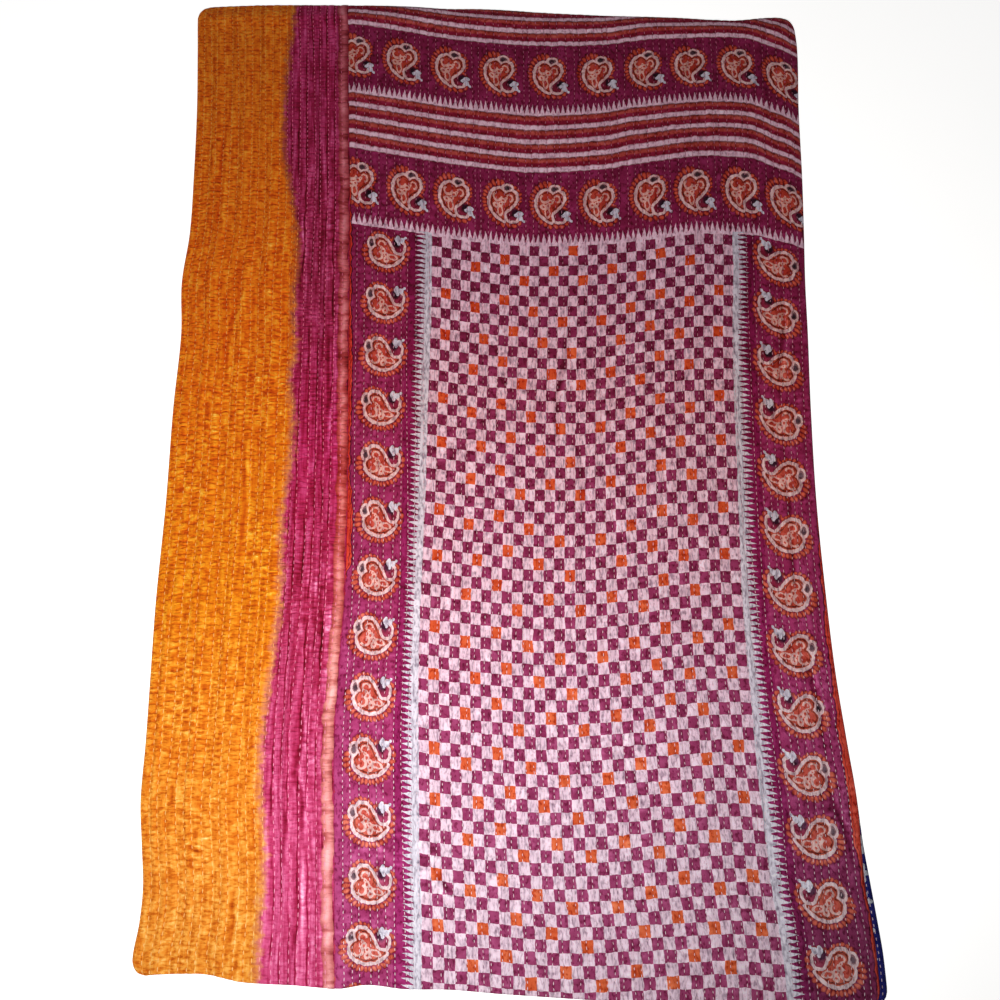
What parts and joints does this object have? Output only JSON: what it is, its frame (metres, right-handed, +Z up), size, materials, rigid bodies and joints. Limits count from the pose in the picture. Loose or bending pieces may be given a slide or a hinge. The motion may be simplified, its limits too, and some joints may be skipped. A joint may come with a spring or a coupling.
{
  "type": "kantha quilt",
  "caption": "Hand-quilted cotton bedcover spread out flat: printed and dyed sari cloths stitched lengthwise onto a backing cloth.",
  "frame": {"origin": "the middle of the quilt's footprint, on the floor that it lies on", "axes": "+X across the quilt, from the dyed cloth to the printed one; +Y along it, towards its head; +Z up, out of its face"},
  "size_m": [1.558, 2.3303, 0.0109],
  "materials": {
    "backing_cotton": "matt printed cotton",
    "printed_cotton": "matt block-printed cotton",
    "dyed_cotton": "matt dyed cotton"
  },
  "bodies": {
    "root": {"backing_cloth": "backing_cotton", "printed_cloth": "printed_cotton", "side_cloth": "dyed_cotton"}
  },
  "joints": []
}
